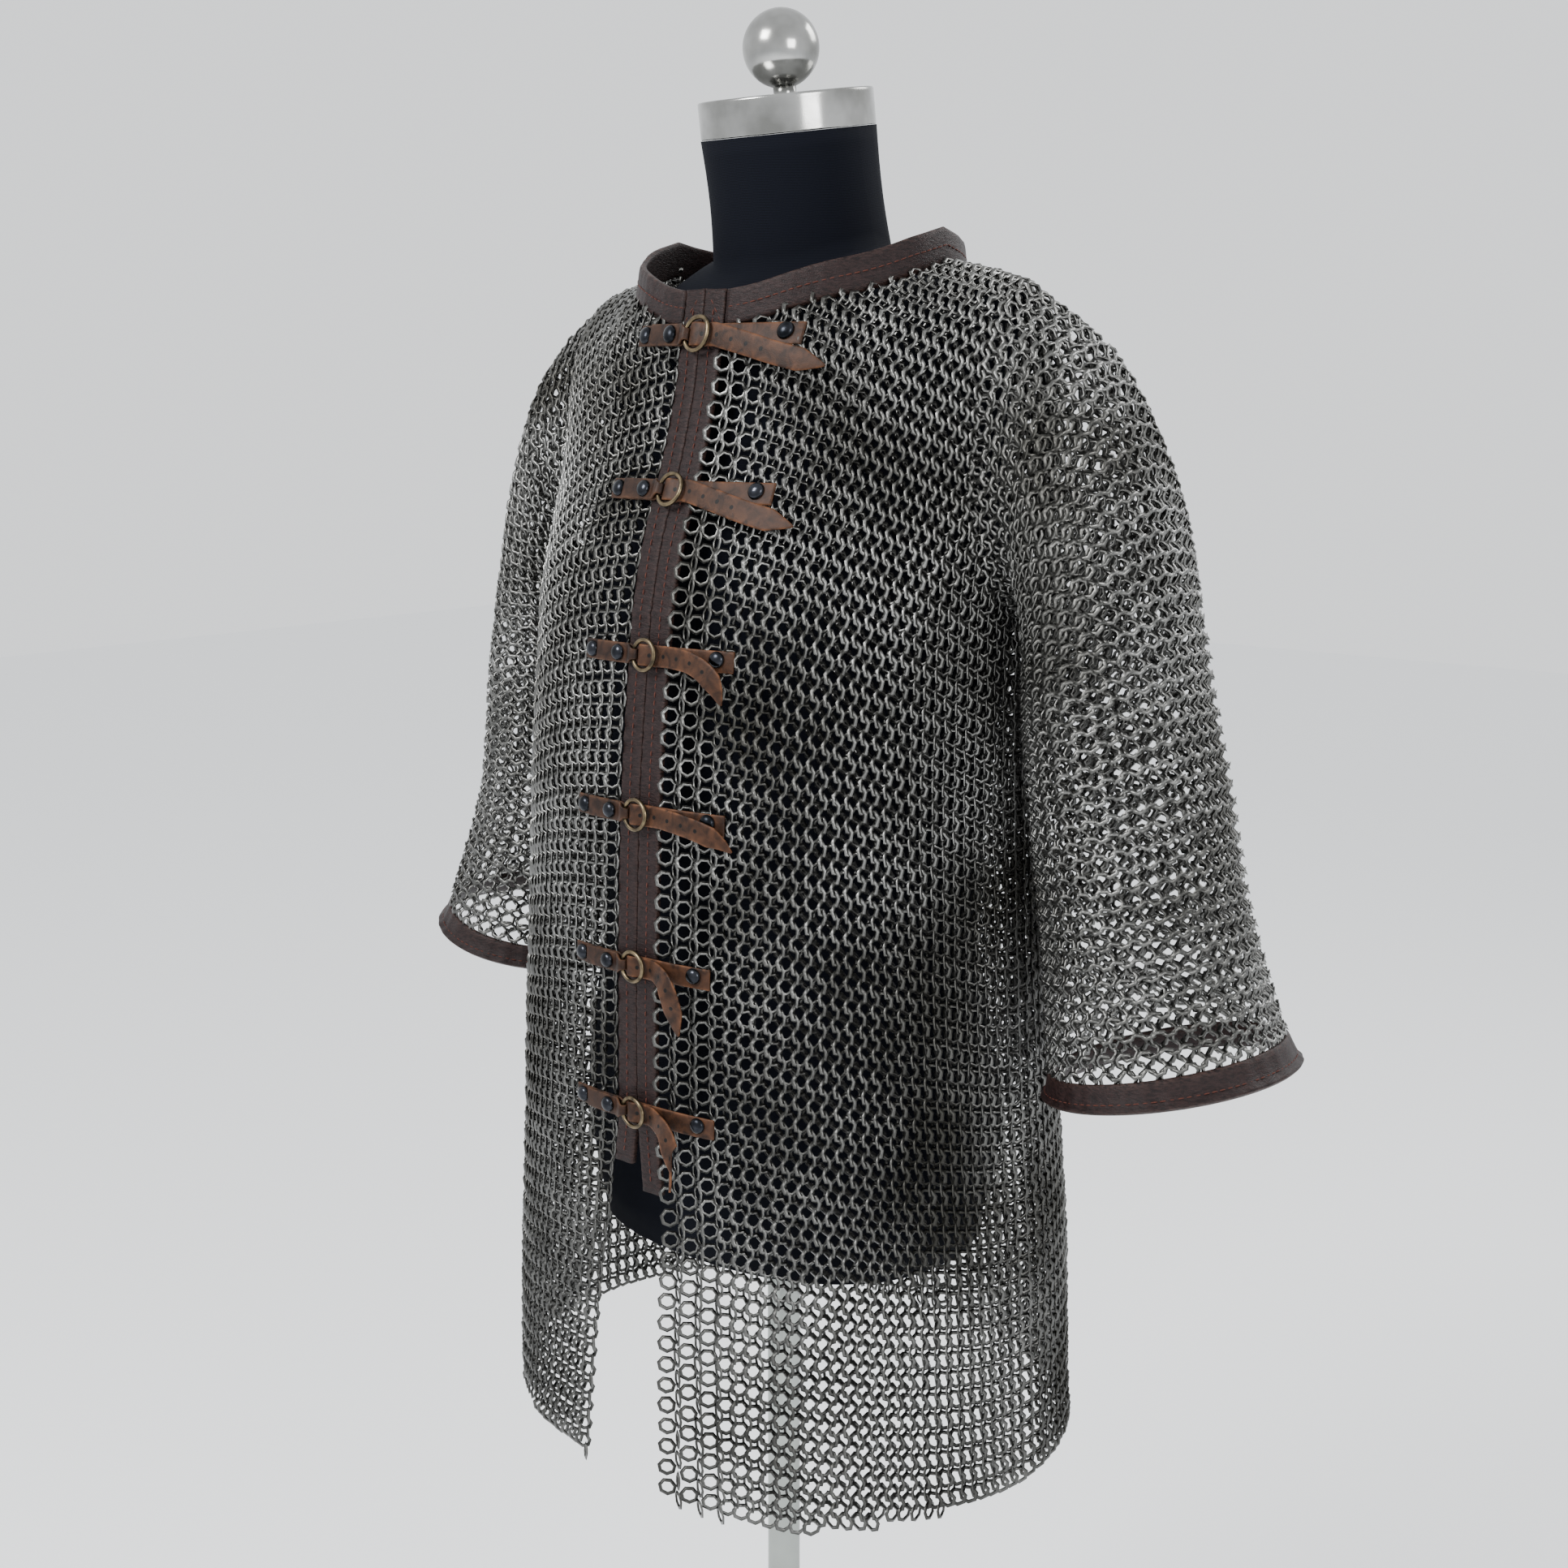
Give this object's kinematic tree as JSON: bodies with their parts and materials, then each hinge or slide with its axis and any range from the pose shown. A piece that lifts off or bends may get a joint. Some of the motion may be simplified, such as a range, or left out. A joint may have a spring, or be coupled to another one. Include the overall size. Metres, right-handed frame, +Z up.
{
  "type": "chainmail hauberk on a dress form",
  "caption": "Short-sleeved shirt of linked steel rings, open down the front, closed by leather straps and buckles, shown on a limbless dress form.",
  "frame": {"origin": "middle of the underside of the round base, on the floor and on the pole's axis", "axes": "+Z up, -Y to the front of the garment, +X to the wearer's left"},
  "size_m": [0.7768, 0.38, 1.6432],
  "materials": {
    "mail": "linked rings of grey steel wire, worn",
    "binding_leather": "dark plum-brown, finely wrinkled",
    "strap_leather": "mid brown with worn lighter edges",
    "buckle_brass": "antique",
    "blued_rivet": "blued, shiny",
    "form_jersey": "black stretch cover",
    "polished_steel": "polished",
    "stand_steel": "satin"
  },
  "bodies": {
    "root": {"mail_front_right": "mail", "mail_front_left": "mail", "mail_back": "mail", "mail_sleeve_right": "mail", "cuff_right": "binding_leather", "mail_sleeve_left": "mail", "cuff_left": "binding_leather", "collar_band": "binding_leather", "placket_right": "binding_leather", "placket_left": "binding_leather", "chape_1": "strap_leather", "strap_1": "strap_leather", "ring_1": "buckle_brass", "prong_1": "buckle_brass", "rivet_end_1": "blued_rivet", "rivet_mid_1": "blued_rivet", "rivet_strap_1": "blued_rivet", "chape_2": "strap_leather", "strap_2": "strap_leather", "ring_2": "buckle_brass", "prong_2": "buckle_brass", "rivet_end_2": "blued_rivet", "rivet_mid_2": "blued_rivet", "rivet_strap_2": "blued_rivet", "chape_3": "strap_leather", "strap_3": "strap_leather", "ring_3": "buckle_brass", "prong_3": "buckle_brass", "rivet_end_3": "blued_rivet", "rivet_mid_3": "blued_rivet", "rivet_strap_3": "blued_rivet", "chape_4": "strap_leather", "strap_4": "strap_leather", "ring_4": "buckle_brass", "prong_4": "buckle_brass", "rivet_end_4": "blued_rivet", "rivet_mid_4": "blued_rivet", "rivet_strap_4": "blued_rivet", "chape_5": "strap_leather", "strap_5": "strap_leather", "ring_5": "buckle_brass", "prong_5": "buckle_brass", "rivet_end_5": "blued_rivet", "rivet_mid_5": "blued_rivet", "rivet_strap_5": "blued_rivet", "chape_6": "strap_leather", "strap_6": "strap_leather", "ring_6": "buckle_brass", "prong_6": "buckle_brass", "rivet_end_6": "blued_rivet", "rivet_mid_6": "blued_rivet", "rivet_strap_6": "blued_rivet", "form_torso": "form_jersey", "form_cap": "polished_steel", "form_ball": "polished_steel", "form_pole": "stand_steel", "form_base": "stand_steel"}
  },
  "joints": []
}
